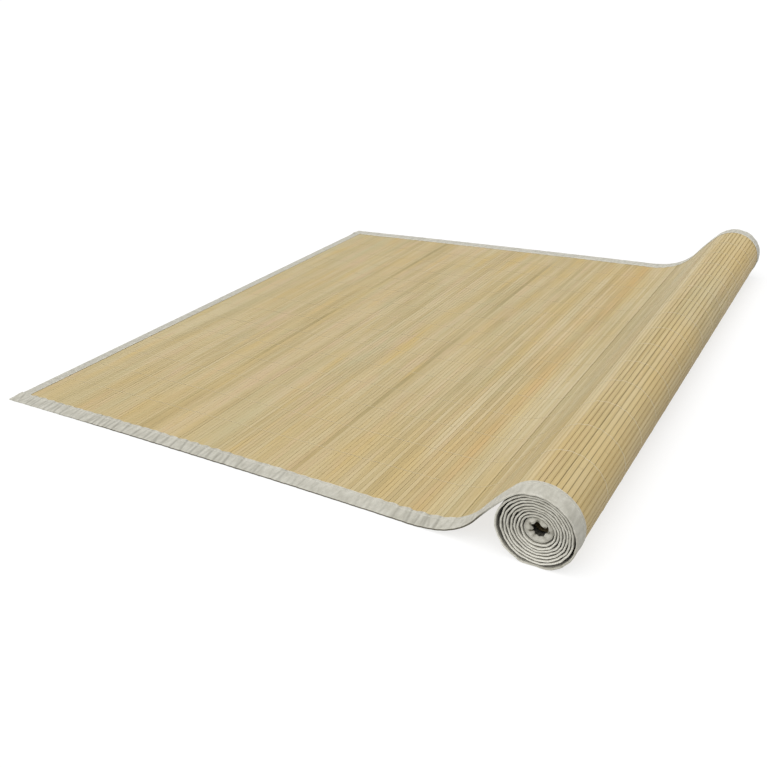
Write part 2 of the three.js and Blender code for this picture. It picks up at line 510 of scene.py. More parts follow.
def slat_shape(tree, size):
    """One slat, lying along Y: a bar with round shoulders and a slight crown."""
    ring = tree.wire("GeometryNodeCurvePrimitiveCircle", {"Resolution": SLAT_SIDES, "Radius": 1.0})
    x, y, _ = tree.parts(tree.wire("GeometryNodeInputPosition"))

    def squared(value, half):
        return value.math("SIGN") * value.math("ABSOLUTE").math("POWER", SLAT_ROUNDNESS) * half

    across = tree.vector(squared(x, size["Slat width"] / 2), squared(y, size["Slat thickness"] / 2))
    section = set_at(tree, ring, across)
    half = size["Slat length"] / 2
    spine = tree.wire(
        "GeometryNodeCurvePrimitiveLine",
        {"Start": tree.vector(y=half * -1.0), "End": tree.vector(y=half)},
    )
    spine = tree.wire("GeometryNodeResampleCurve", {"Curve": spine, "Count": SLAT_SECTIONS})
    return tree.wire(
        "GeometryNodeCurveToMesh",
        {"Curve": spine, "Profile Curve": section, "Fill Caps": True},
    )


def slat_recipe(sizes):
    """Slats set out at the pitch, each a little off its place, and pushed apart at open joints."""
    tree, size = recipe("Lay the slats", sizes)
    number = tree.wire("GeometryNodeInputIndex")
    centre = (number + 0.5) * size["Slat pitch"]
    for place in range(len(OPEN_JOINTS)):
        away = number + 0.5 - size[f"Open joint {place + 1}"]
        push = away.math("SIGN") * (away.math("ABSOLUTE") * -1.0 + 0.5).math("EXPONENT")
        centre = centre + push * size[f"Opening {place + 1}"]
    loose = size["Unevenness"]
    centre = centre + chance(tree, -0.15, 0.15, 3) * loose
    height = size["Slat top"] - size["Slat thickness"] / 2 + chance(tree, -0.6, 0.0, 4) * loose * 0.5

    row = tree.wire("GeometryNodePoints", {"Count": size["Slats"]})
    row = set_at(tree, row, tree.vector(centre, 0.0, height))
    row = store(tree, row, "centre", centre)
    row = store(tree, row, "tone", chance(tree, 0.0, 1.0, 1))
    row = store(tree, row, "number", number)
    slats = copies(
        tree, row, slat_shape(tree, size),
        Rotation=turned(tree, y=chance(tree, -0.03, 0.03, 5)),
        Scale=tree.vector(chance(tree, 0.982, 1.0, 6), 1.0, 1.0),
    )

    x, y, _ = tree.parts(tree.wire("GeometryNodeInputPosition"))
    own = noise(tree, stored(tree, "number") * 7.31, y * 3.5, 1.0)
    shared = noise(tree, x * 14.0, y * 2.2, 1.0)
    sway = ((own - 0.5) * 0.5 + (shared - 0.5) * 3.0) * loose
    slats = tree.wire(
        "GeometryNodeSetPosition", {"Geometry": slats, "Offset": tree.vector(sway)}
    )
    slats = shaded_smooth(tree, wound(tree, slats, size["Geometry"], size["Slat pitch"]))
    crease = tree.wire("GeometryNodeInputMeshEdgeAngle").math("GREATER_THAN", math.radians(40))
    slats = tree.wire(
        "GeometryNodeSetShadeSmooth",
        {"Geometry": slats, "Selection": crease, "Shade Smooth": False},
        domain="EDGE",
    )
    end_recipe(tree, slats, size["Finish"])
    return tree


def make_slats(line, finish):
    sizes = {
        **CLOTH_SIZES,
        "Slat length": 2 * (HALF_WIDTH - SLAT_INSET),
        "Unevenness": 0.3 * MM,
        "Finish": finish,
    }
    for place, (joint, opening) in enumerate(OPEN_JOINTS):
        sizes[f"Open joint {place + 1}"] = float(joint)
        sizes[f"Opening {place + 1}"] = opening
    return make("slats", slat_recipe(sizes), sizes, line)


# Threads that hold the slats

def thread_recipe(sizes):
    """Rows of a thread with three points to a slat: at its joint and at its two edges."""
    tree, size = recipe("Weave the threads", sizes)
    pitch, slats = size["Slat pitch"], size["Slats"]
    start = tree.wire("GeometryNodeCurvePrimitiveLine", {"End": (1.0, 0.0, 0.0)})
    thread = tree.wire(
        "GeometryNodeResampleCurve", {"Curve": start, "Count": slats * 3.0 + 1.0}
    )
    number = tree.wire("GeometryNodeInputIndex")
    slat = (number / 3.0).math("FLOOR")
    step = number - slat * 3.0
    at_joint = step.math("LESS_THAN", 0.5)
    past = step.math("GREATER_THAN", 1.5)
    edge = size["Slat width"] / pitch * -0.5 + 0.5
    within = (edge + past * (edge * -2.0 + 1.0)) * (at_joint * -1.0 + 1.0)
    side = (slat + size["Starts under"]).math("MODULO", 2.0) * -2.0 + 1.0
    middle = size["Slat top"] - size["Slat thickness"] / 2
    reach = (size["Slat thickness"] + size["Thread thickness"]) / 2 + 0.02 * MM
    height = middle + side * reach * (at_joint * -1.0 + 1.0)
    spot = tree.vector((slat + within) * pitch, 0.0, height)
    thread = set_at(tree, thread, spot)

    section = tree.wire(
        "GeometryNodeCurvePrimitiveQuadrilateral",
        {"Width": size["Thread width"], "Height": size["Thread thickness"]},
    )
    thread = tree.wire("GeometryNodeCurveToMesh", {"Curve": thread, "Profile Curve": section})
    step_across = size["Row step"]
    rows = tree.wire(
        "GeometryNodeMeshLine",
        {
            "Count": size["Rows"],
            "Start Location": tree.vector(
                y=(size["Rows"] - 1.0) * step_across * -0.5 + size["Beside"]
            ),
            "Offset": tree.vector(y=step_across),
        },
    )
    rows = wound(tree, copies(tree, rows, thread), size["Geometry"], size["Slat pitch"])
    end_recipe(tree, shaded_smooth(tree, rows), size["Finish"])
    return tree


def make_threads(line, finish):
    """Two threads in each row: where one passes over a slat, the other passes under it."""
    sizes = {
        **CLOTH_SIZES,
        "Rows": THREAD_ROWS,
        "Row step": THREAD_ROW_STEP,
        "Thread width": THREAD_WIDTH,
        "Thread thickness": THREAD_THICK,
        "Starts under": 0.0,
        "Beside": 0.0,
        "Finish": finish,
    }
    tree = thread_recipe(sizes)
    pieces = []
    for name, under, beside in [("threads_a", 0.0, -0.6), ("threads_b", 1.0, 0.6)]:
        sizes.update({"Starts under": under, "Beside": beside * THREAD_WIDTH})
        pieces.append(make(name, tree, sizes, line))
    return pieces


# Binding tape

def tape_section(top_width, under_width):
    """Middle line of a folded tape, from its turned edge over the top, round the fold and back
    underneath: rows of (distance in from the rug's edge, height above the cloth's underside,
    how freely it creases)."""
    lining = SLAT_TOP + 0.04 * MM + TAPE_THICK / 2
    turned = lining + TAPE_THICK + 0.02 * MM
    low = TAPE_THICK / 2
    seam = top_width - SEAM_INSET
    inner = top_width - TURNED_EDGE
    rows = [
        (inner, lining, 0.0),
        (top_width - 0.9 * MM, lining, 0.0),
        (top_width - 0.25 * MM, lining + 0.06 * MM, 0.0),
        (top_width, (lining + turned) / 2, 0.3),
        (top_width - 0.25 * MM, turned - 0.06 * MM, 0.7),
        (top_width - 0.9 * MM, turned, 0.9),
        (seam + 0.8 * MM, turned - 0.02 * MM, 0.6),
        (seam, turned - 0.2 * MM, 0.15),
        (seam - 0.9 * MM, turned, 0.7),
        (inner, turned - 0.04 * MM, 0.9),
        (inner - 1.6 * MM, (lining + turned) / 2 - 0.02 * MM, 1.0),
    ]
    for inward in np.linspace(inner - 3 * MM, 4.2 * MM, 4):
        rows.append((inward, lining + 0.02 * MM, 1.0))
    fold_height = FOLD_RADIUS + low
    rows.append((2.3 * MM, lining - 0.02 * MM, 0.9))
    rows.append((1.4 * MM, 0.5 * (fold_height + FOLD_RADIUS + lining), 0.8))
    for angle in np.radians(np.linspace(95, -85, 8)):
        rows.append((
            FOLD_RADIUS * (1 - math.cos(angle)) + TAPE_THICK / 2,
            fold_height + FOLD_RADIUS * math.sin(angle),
            0.35 + 0.35 * math.sin(angle),
        ))
    for inward in np.linspace(2.2 * MM, under_width, 4):
        rows.append((inward, low, 0.0))
    return np.array(rows)


# Creases listed for the front tape, where it is pulled in most:
# (from the free end, slant, depth, half width), all in millimetres but the slant
FRONT_CREASES = [
    (12, 0.5, 0.36, 1.6), (30, 0.2, 0.50, 1.8), (41, 0.1, 0.44, 1.6), (52, 0.2, 0.30, 1.5),
    (64, 0.1, 0.52, 1.8), (74, -0.1, 0.36, 1.6), (81, 0.3, 0.60, 1.8), (93, 0.2, 0.44, 1.7),
    (110, 0.1, 0.30, 1.6), (127, 0.2, 0.26, 1.6), (141, 0.1, 0.34, 1.6), (150, 0.2, 0.52, 1.6),
    (158, 0.3, 0.56, 1.7), (167, 0.2, 0.52, 1.6), (174, 0.1, 0.40, 1.5), (182, 0.3, 0.58, 1.8),
    (198, 0.2, 0.48, 1.7), (216, 0.1, 0.32, 1.6), (233, 0.2, 0.40, 1.7), (248, 0.4, 0.60, 1.9),
    (260, 0.1, 0.30, 1.6), (274, 0.2, 0.42, 1.7), (288, 0.4, 0.56, 1.9), (304, 0.2, 0.50, 1.8),
    (315, 0.1, 0.34, 1.6), (326, 0.2, 0.40, 1.7), (338, 0.1, 0.30, 1.6), (350, 0.3, 0.52, 1.8),
    (369, 0.2, 0.44, 1.7), (392, 0.2, 0.28, 1.7), (424, 0.1, 0.22, 1.8), (560, 0.1, 0.30, 1.7),
    (574, 0.2, 0.42, 1.8), (583, 0.1, 0.34, 1.6), (592, 0.2, 0.46, 1.8), (604, 0.2, 0.36, 1.7),
]


def crease_rows(length, placed, draws, strength):
    """Creases of one tape: those listed, then small ones about 8 mm apart."""
    rows = [(at * MM, slant, depth * MM, half * MM) for at, slant, depth, half in placed]
    at = draws.uniform(0, 6) * MM
    while at < length:
        depth = draws.uniform(0.05, 0.26) * MM * strength(at)
        rows.append((at, draws.uniform(-0.2, 0.4), depth, draws.uniform(1.2, 1.9) * MM))
        at += draws.uniform(5.5, 10.5) * MM
    return rows


def creased(run, inward, rows, middle):
    """How far the tape stands up, as two ridges beside each crease, and how deep in it a point is, which
    sets the painted shade in the crease.
    """
    rise, painted_shading = np.zeros_like(run), np.zeros_like(run)
    for at, slant, depth, half in rows:
        off = (run - at - slant * (middle - inward)) / half
        near = np.abs(off) < 5
        ridges = np.exp(-((off[near] - 1.5) ** 2)) + 0.6 * np.exp(-((off[near] + 1.6) ** 2))
        rise[near] = np.maximum(rise[near], depth * ridges)
        painted_shading[near] += depth * np.exp(-((off[near] * 1.4) ** 2))
    return rise, painted_shading


def bumpy(run, draws, waves, shortest, longest):
    """A smooth uneven line within 1 either way, from a few waves of random length."""
    total = np.zeros_like(run)
    for _ in range(waves):
        length = draws.uniform(shortest, longest)
        total += np.sin(2 * math.pi * run / length + draws.uniform(0, 2 * math.pi))
    return total / waves


def shaded_places(run, inward, below_fold):
    """Where a side tape gets painted shade: a painted shadow under its fold on the open part, painted
    shade low on the roll's outer turn, and painted shade between the turns, whose lower edges get less
    painted shade and, nearest the edge, painted light."""
    under = below_fold * np.interp(run, (0.06, 0.2, 0.66, 0.7), (0.5, 2.0, 2.0, 0))
    low_side = np.interp(run, (0.75, 0.79, 0.83, 0.86), (0, 0.7, 0.6, 0))
    innermost = run > RUG_LENGTH - CORE_GATHER_LENGTH
    starts = np.where(innermost, 2.2 * MM, 0.5 * MM)
    depth = np.clip((inward - starts) / (1.2 * MM), 0, 1) * np.where(innermost, 1.35, 1)
    in_roll = np.clip((run - INNER_TURNS_START) / (25 * MM), 0, 1)
    facing_down = np.maximum(-np.interp(run, ALONG, HEADING_X), 0)
    between_turns = 1.45 * depth * (1 - 0.3 * facing_down) - 0.6 * facing_down * (1 - depth)
    return under + low_side + between_turns * in_roll


def gathered_at_core(along, from_edge, draws):
    """How the tape's edge bunches at the core, in pleats: how far it moves towards the middle of
    the roll and on into the core, and the painted shade in its pleats and round the core's opening."""
    innermost = np.clip((along - RUG_LENGTH + CORE_GATHER_LENGTH) / CORE_GATHER_START, 0, 1)
    facing_x = np.interp(along, ALONG, -HEADING_Z)
    facing_up = np.maximum(np.interp(along, ALONG, HEADING_X), 0)
    pleats = bumpy(along, draws, 2, 7 * MM, 12 * MM)
    gather = innermost * CORE_GATHER * (1 - 0.22 * facing_x - 0.6 * facing_up + 0.14 * pleats)
    bunched = np.clip(1 - from_edge / CORE_BUNCHED_WIDTH, 0, 1)
    bunched *= 2 - bunched
    lip = np.clip(1 - from_edge / CORE_LIP, 0, 1) ** 2
    shade = np.clip(-3 * pleats * innermost, 0, 1.5) * bunched
    shade = shade + 1.5 * bunched ** 4 * gather / CORE_GATHER
    return gather * bunched, (0.55 * lip - 0.1 * bunched) * gather, shade


def sheet_mesh(name, points, uvs, painted_shading, finish):
    """A sheet of quads from a grid of points, with its UVs in metres and its painted shading marked at
    its points.
    """
    rows, columns = points.shape[:2]
    corner = np.arange(rows * columns).reshape(rows, columns)
    quads = np.stack(
        [corner[:-1, :-1], corner[1:, :-1], corner[1:, 1:], corner[:-1, 1:]], axis=-1
    ).reshape(-1, 4)
    mesh = bpy.data.meshes.new(name)
    mesh.from_pydata(points.reshape(-1, 3).tolist(), [], quads.tolist())
    layer = mesh.uv_layers.new(name="UVMap")
    layer.data.foreach_set("uv", uvs.reshape(-1, 2)[quads.ravel()].ravel())
    mark = mesh.attributes.new("painted_shading", "FLOAT", "POINT")
    mark.data.foreach_set("value", painted_shading.ravel())
    mesh.materials.append(finish)
    mesh.polygons.foreach_set("use_smooth", np.ones(len(quads), bool))
    piece = bpy.data.objects.new(name, mesh)
    bpy.context.scene.collection.objects.link(piece)
    return piece


def tape_steps(length, closed_ends):
    """Where the rows of a tape's points lie: four to a slat where it shows, three elsewhere."""
    shown = min(length, SHOWN_LENGTH)
    fine = np.arange(0, shown, SLAT_PITCH / 4)
    coarse = np.arange(shown, length + TINY, SLAT_PITCH / 3)
    run = np.r_[fine, coarse, length] if length - coarse[-1] > TINY else np.r_[fine, coarse]
    if not closed_ends:
        return run
    closing = END_CLOSING * np.array([1, 0.85, 0.5])
    return np.r_[-closing, run, length + closing[::-1]]


def seam_and_fold_wander(along, from_edge, on_top, draws, lively):
    """How far the tape's edges wander inwards, and how far its fold rides up once it is wound."""
    at_seam = np.clip((from_edge - from_edge.max() + SEAM_INSET) / SEAM_INSET, 0, 1) * on_top
    at_fold = np.clip(1 - from_edge / (4 * MM), 0, 1)
    wound_up = np.clip((along - WINDING_STARTS) / (20 * MM), 0, 1)
    scallop = bumpy(along, draws, 3, 9 * MM, 17 * MM) * SEAM_SCALLOP
    scallop = scallop + bumpy(along, draws, 2, 40 * MM, 90 * MM) * SEAM_SWAY
    fold = bumpy(along, draws, 4, 8 * MM, 50 * MM) * FOLD_WANDER
    lift = bumpy(along, draws, 4, 7 * MM, 40 * MM) * FOLD_LIFT
    inwards = (scallop * at_seam + fold * at_fold) * lively(along)
    return inwards, lift * wound_up * at_fold


def closed_off(height, from_end, inward, on_top):
    """A side tape's heights, where it rides up over the end tapes and is shut at its two ends."""
    over_end_tape = eased((END_TAPE_WIDTH + 5 * MM - from_end) / (5 * MM))
    off_fold = np.clip((inward - 7 * MM) / (7 * MM), 0, 1) * on_top
    height = height + 2.2 * TAPE_THICK * over_end_tape * off_fold
    past_end = np.clip(-from_end / END_CLOSING, 0, 1)
    shut = 0.1 + 0.9 * np.sqrt(1 - past_end ** 2)
    return TAPE_THICK + (height - TAPE_THICK) * shut


def make_tape(name, place, length, section, finish, seed, placed=(), liveliness=None, closed_ends=False):
    """A folded tape with its gathers, uneven edges and, on the side tapes, closed ends."""
    draws = random.Random(seed)
    lively = liveliness or (lambda at: np.full_like(at, END_TAPE_LIVELINESS))
    creases = crease_rows(length, placed, draws, lambda at: float(lively(np.array(at))))
    from_edge, above, give = section.T
    on_top = above > SLAT_TOP
    run, flat_inward = np.meshgrid(tape_steps(length, closed_ends), from_edge, indexing="ij")
    along = run[:, :1]

    slope = np.gradient(section[:, :2], axis=0)
    slope /= np.linalg.norm(slope, axis=1)[:, None]
    rise, depth = creased(run, flat_inward, creases, from_edge.max() / 2)
    rise *= give
    inward = flat_inward + rise * slope[:, 1]
    height = above - rise * slope[:, 0]
    # Painted shade in the creases, darkest in their troughs
    painted_shading = np.clip(depth * give / FULL_SHADE_DEPTH, 0, 1)
    # Painted highlight along the turned-over inner edge, which stands above the slats
    turned_over = (from_edge > from_edge.max() - 0.6 * MM) & (above > SLAT_TOP + TAPE_THICK)
    painted_shading -= turned_over * (1 - painted_shading)

    wander, lift = seam_and_fold_wander(along, from_edge, on_top, draws, lively)
    inward += wander
    height += lift
    if closed_ends:
        height = closed_off(height, np.minimum(run, length - run), flat_inward, on_top)
        # Painted shadow under the fold, and painted shade on the roll and between its turns
        below_fold = (above < SLAT_TOP) * np.clip(2 - from_edge / (1 * MM), 0, 1)
        painted_shading += shaded_places(run, flat_inward, below_fold)
        # Painted shade in the pleats at the core and round its opening
        towards_core, into_core, shade = gathered_at_core(along, from_edge, draws)
        height -= towards_core
        inward += into_core
        painted_shading += shade
    else:
        # The end tapes are made a little darker all over, through the same painted-shading mark
        painted_shading += END_TAPE_DARKENING

    across = np.r_[0, np.cumsum(np.linalg.norm(np.diff(section[:, :2], axis=0), axis=1))]
    uvs = np.stack([run, np.broadcast_to(across, run.shape)], axis=-1)
    piece = sheet_mesh(name, on_course(*place(run, inward, height)), uvs, painted_shading, finish)
    wall = piece.modifiers.new("thickness", "SOLIDIFY")
    wall.thickness = TAPE_THICK
    wall.offset = 0
    return settled(piece)


def make_bindings(finish):
    """The four tapes, with the width that each was cut to and the end tapes' length."""
    section = tape_section(SIDE_TAPE_WIDTH, UNDERSIDE_FLAP)
    end_section = tape_section(END_TAPE_WIDTH, END_TAPE_WIDTH)
    end_length = 2 * (HALF_WIDTH - UNDERSIDE_FLAP) - END_TAPE_GAP

    def liveliness(at):
        """The tape is most gathered at the free end, and calm on the roll."""
        return np.interp(at, (0, 0.42, 0.5, 0.57, 0.61, 0.68), (1.0, 1.0, 0.6, 1.0, 1.0, 0.4))

    def front(run, inward, height):
        return run, inward - HALF_WIDTH, height

    def back(run, inward, height):
        return run, HALF_WIDTH - inward, height

    def free_end(run, inward, height):
        return inward, run - end_length / 2, height

    def core_end(run, inward, height):
        return RUG_LENGTH - inward, run - end_length / 2, height

    tapes, cut_widths = {}, {}
    for name, place, seed, placed in [("front", front, 11, FRONT_CREASES), ("back", back, 12, ())]:
        name = f"binding_tape_{name}"
        tapes[name] = make_tape(
            name, place, RUG_LENGTH, section, finish, seed, placed, liveliness, closed_ends=True
        )
        cut_widths[name] = length_of(section[:, :2])
    for name, place, seed in [("free_end", free_end, 13), ("core_end", core_end, 14)]:
        name = f"binding_tape_{name}"
        tapes[name] = make_tape(name, place, end_length, end_section, finish, seed)
        cut_widths[name] = length_of(end_section[:, :2])
    return tapes, cut_widths, end_length


# Stitches

def stitch_recipe(sizes):
    """A line of arched stitches, along the rug or across it."""
    tree, size = recipe("Sew the seam", sizes)
    half = size["Stitch length"] / 2
    spine = tree.wire(
        "GeometryNodeCurveQuadraticBezier",
        {
            "Resolution": 4,
            "Start": tree.vector(half * -1.0, 0.0, size["Stitch thickness"] * -0.5),
            "Middle": tree.vector(0.0, 0.0, size["Stitch thickness"] * 0.6),
            "End": tree.vector(half, 0.0, size["Stitch thickness"] * -0.5),
        },
    )
    round_section = tree.wire(
        "GeometryNodeCurvePrimitiveCircle",
        {"Resolution": 5, "Radius": size["Stitch thickness"] / 2},
    )
    stitch = tree.wire(
        "GeometryNodeCurveToMesh",
        {"Curve": spine, "Profile Curve": round_section, "Fill Caps": True},
    )
    number = tree.wire("GeometryNodeInputIndex")
    loose = size["Unevenness"]
    along = (number + 0.5) * size["Stitch pitch"] + chance(tree, -1.0, 1.0, 7) * loose * 0.5
    beside = chance(tree, -1.0, 1.0, 8) * loose
    across_rug = size["Runs across"]
    spot = tree.vector(
        size["Seam along"] + along * (across_rug * -1.0 + 1.0) + beside * across_rug,
        size["Seam across"] + beside * (across_rug * -1.0 + 1.0) + along * across_rug,
        size["Seam height"],
    )
    row = tree.wire("GeometryNodePoints", {"Count": size["Stitches"]})
    turn = turned(tree, z=across_rug * (math.pi / 2) + chance(tree, -0.16, 0.16, 9))
    seam = copies(tree, set_at(tree, row, spot), stitch, Rotation=turn)
    seam = wound(tree, seam, size["Geometry"], size["Slat pitch"])
    end_recipe(tree, shaded_smooth(tree, seam), size["Finish"])
    return tree


def make_seams(line, end_length, finish):
    """The seams that hold the four tapes, each on its tape's turned edge."""
    on_turned_edge = SLAT_TOP + 0.06 * MM + 2 * TAPE_THICK - 0.12 * MM
    sizes = {
        "Stitches": 1,
        "Slat pitch": SLAT_PITCH,
        "Stitch pitch": STITCH_PITCH,
        "Stitch length": STITCH_LENGTH,
        "Stitch thickness": STITCH_THICK,
        "Seam along": 0.0,
        "Seam across": 0.0,
        "Seam height": on_turned_edge,
        "Runs across": 0.0,
        "Unevenness": 0.2 * MM,
        "Finish": finish,
    }
    tree = stitch_recipe(sizes)
    side = HALF_WIDTH - SIDE_TAPE_WIDTH + SEAM_INSET
    inset = END_TAPE_WIDTH - SEAM_INSET
    seams = {}
    for name, along, across, runs_across, length in [
        ("seam_front", 0.0, -side, 0.0, RUG_LENGTH),
        ("seam_back", 0.0, side, 0.0, RUG_LENGTH),
        ("seam_free_end", inset, -end_length / 2, 1.0, end_length),
        ("seam_core_end", RUG_LENGTH - inset, -end_length / 2, 1.0, end_length),
    ]:
        sizes.update({
            "Stitches": int(length / STITCH_PITCH),
            "Seam along": along,
            "Seam across": across,
            "Runs across": runs_across,
        })
        seams[name] = make(name, tree, sizes, line)
    return seams


# Finishes

def finish_tree(name, values):
    """A new material, its node tree and its surface, which starts with the values given."""
    material = bpy.data.materials.new(name)
    material.use_nodes = True
    material.node_tree.nodes.clear()
    tree = Tree(material.node_tree)
    surface = tree.node("ShaderNodeBsdfPrincipled", values)
    tree.node("ShaderNodeOutputMaterial", {"Surface": Wire(tree, surface.outputs[0])})
    return material, tree, surface


def connect(tree, value, surface, name):
    """Lets a wire set one of a surface's values."""
    tree.tree.links.new(value.socket, surface.inputs[name])


def relief_of(tree, height, strength, depth):
    """A surface that stands up and down with a height, by at most the depth given."""
    inputs = {"Height": height, "Strength": strength, "Distance": depth}
    return tree.wire("ShaderNodeBump", inputs)


def mix_colours(tree, share, first, second):
    """The first colour, with a share of the second in it."""
    node = tree.tree.nodes.new("ShaderNodeMix")
    node.data_type = "RGBA"
    places = {"Factor": 0, "A": 6, "B": 7}
    for name, value in {"Factor": share, "A": first, "B": second}.items():
        socket = node.inputs[places[name]]
        if isinstance(value, Wire):
            tree.tree.links.new(value.socket, socket)
        elif name == "Factor":
            socket.default_value = value
        else:
            socket.default_value = (*value, 1.0)
    return Wire(tree, node.outputs[2])


BAMBOO_LIGHT = (0.56, 0.475, 0.30)
BAMBOO_MIDDLE = (0.485, 0.392, 0.215)
BAMBOO_DARK = (0.37, 0.285, 0.135)
GREEN_GREY = (0.45, 0.40, 0.235)
PINK = (0.53, 0.40, 0.25)
OCHRE = (0.51, 0.38, 0.165)
HONEY = (0.56, 0.405, 0.165)
ORANGE = (0.53, 0.355, 0.145)
OLIVE = (0.27, 0.22, 0.095)
PALE = (0.60, 0.50, 0.27)
# Painted shade for the roll's side
PAINTED_ROLL_SHADE = (0.27, 0.19, 0.055)
# Painted shade for deep in the roll's core
CORE_SHADE = (0.05, 0.04, 0.02)

# How far apart the joints of the bamboo's own stem lie along a slat, and the wood's middle tone
NODE_PERIOD = 0.34
GRAIN_MIDDLE = 0.63

# Tints seen on the rug, with painted shade on the roll's side and in its core: (from the free end, half
# width) in millimetres, colour, strength
BAMBOO_TINTS = [
    (8, 22, GREEN_GREY, 0.4), (62, 16, GREEN_GREY, 0.4), (100, 22, OCHRE, 0.35),
    (128, 5, GREEN_GREY, 0.5), (186, 14, OCHRE, 0.4), (209, 8, OCHRE, 0.6), (207, 3.4, OLIVE, 0.6),
    (250, 12, PINK, 0.4), (300, 22, GREEN_GREY, 0.4), (352, 7, PINK, 0.3), (384, 9, OCHRE, 0.3),
    (428, 1.8, OLIVE, 0.6), (470, 10, OCHRE, 0.35), (482, 3, OLIVE, 0.35), (508, 3, OLIVE, 0.4),
    (524, 8, OCHRE, 0.5), (556, 10, ORANGE, 0.4), (576, 8, ORANGE, 0.7), (589, 2.4, PALE, 0.7),
    (603, 9, GREEN_GREY, 0.3), (655, 34, GREEN_GREY, 0.6), (715, 8, ORANGE, 0.25),
    # The rows at 792 and 808 mm are painted shade on the roll's side
    (760, 32, HONEY, 0.85), (744, 6, PALE, 0.2), (808, 36, PAINTED_ROLL_SHADE, 1.0), (792, 22, PAINTED_ROLL_SHADE, 0.6),
    # Painted shade deep in the roll's core
    (1985, 60, CORE_SHADE, 1.0),
]


def grain(tree, u, v, centre, tone):
    """How light the wood is, from the slat's own tone, its streaks and wider patches, with more
    contrast towards the roll: the grain is the wood's own, and its extra contrast there is painted
    highlight and shade on the wound slats. Also the streaks and fibres by themselves."""
    own = tone * 53.0
    streaks = noise(tree, u * 700.0, v * 6.0, 3.0, 0.6, own)
    fibres = noise(tree, u * 3200.0, v * 22.0, 2.0, 0.5, own)
    patches = noise(tree, centre * 34.0, v * 3.2, 3.0, 0.6)
    wide = noise(tree, u * 90.0, v * 4.0, 2.0, 0.5, 7.0)
    # The extra contrast towards the roll is painted highlight and shade
    each = tree.between(centre, 0.4, 0.6, 0.12, 0.24)
    split = tree.between(centre, 0.6, 0.72, 0.40, 0.58)
    contrast = tree.between(centre, 0.44, 0.72, 1.25, 1.75)
    level = (tone - 0.5) * each + (streaks - 0.5) * split + (fibres - 0.5) * 0.14
    level = level + (patches - 0.5) * 0.46 + (wide - 0.5) * 0.25
    return level * contrast + GRAIN_MIDDLE, streaks, fibres


def tinted(tree, colour, v, centre):
    """Bamboo's uneven tints: loose patches all over, then those seen on this rug."""
    patchy = tree.between(centre, 0.4, 0.5, 1.5, 1.0)
    hue = noise(tree, centre * 42.0, v * 5.0, 2.0, 0.6, 4.0)
    green, yellow = tree.between(hue, 0.52, 0.72, 0.0, 0.5), tree.between(hue, 0.47, 0.3, 0.0, 0.6)
    colour = mix_colours(tree, green * patchy, colour, GREEN_GREY)
    colour = mix_colours(tree, yellow * patchy, colour, OCHRE)
    hue = noise(tree, centre * 60.0, v * 7.0, 2.0, 0.6, 9.0)
    colour = mix_colours(tree, tree.between(hue, 0.53, 0.72, 0.0, 0.5) * patchy, colour, PINK)
    for number, (place, half, tint, strength) in enumerate(BAMBOO_TINTS):
        off = (centre - place * MM) / (half * MM)
        broken = noise(tree, number * 3.7, v * 5.0, 2.0, 0.6)
        share = (off * off * -1.0).math("EXPONENT") * tree.between(broken, 0.36, 0.62, 0.1, 1.0)
        colour = mix_colours(tree, share * strength, colour, tint)
    return colour


def edges_and_crowns(tree, colour, u, v, centre):
    """Painted shade on slat edges towards the roll, where the joints open, stained open joints, and
    painted highlight on the slats' crowns on the roll.
    """
    from_middle = (u - centre).math("ABSOLUTE")
    uneven = noise(tree, centre * 400.0, v * 9.0, 2.0, 0.6, 2.0)
    at_edge = tree.between(from_middle, SLAT_WIDTH * 0.3, SLAT_WIDTH * 0.5)
    # Painted shade at the slat edges, growing towards the roll
    wear_and_edge_shade = tree.between(centre, 0.42, 0.72, 0.0, 0.5) * tree.between(uneven, 0.3, 0.7, 0.25, 1.1)
    colour = mix_colours(tree, at_edge * wear_and_edge_shade, colour, BAMBOO_DARK)
    for joint, opening in OPEN_JOINTS:
        from_joint = (u - joint * SLAT_PITCH).math("ABSOLUTE")
        stain = tree.between(from_joint, 1.5 * MM, 0.3 * MM, 0.0, opening / (0.2 * MM))
        colour = mix_colours(tree, stain * tree.between(uneven, 0.3, 0.6, 0.5, 1.0), colour, OLIVE)
    # Painted highlight on each slat's crown, on the roll only
    crown = tree.between(from_middle, SLAT_WIDTH * 0.24, 0.0)
    crown = crown * tree.between(uneven, 0.7, 0.3, 0.2, 1.0)
    on_roll = tree.between(centre, 0.6, 0.72, 0.0, 0.7) * tree.between(centre, 0.79, 0.76)
    return mix_colours(tree, crown * on_roll, colour, PALE)


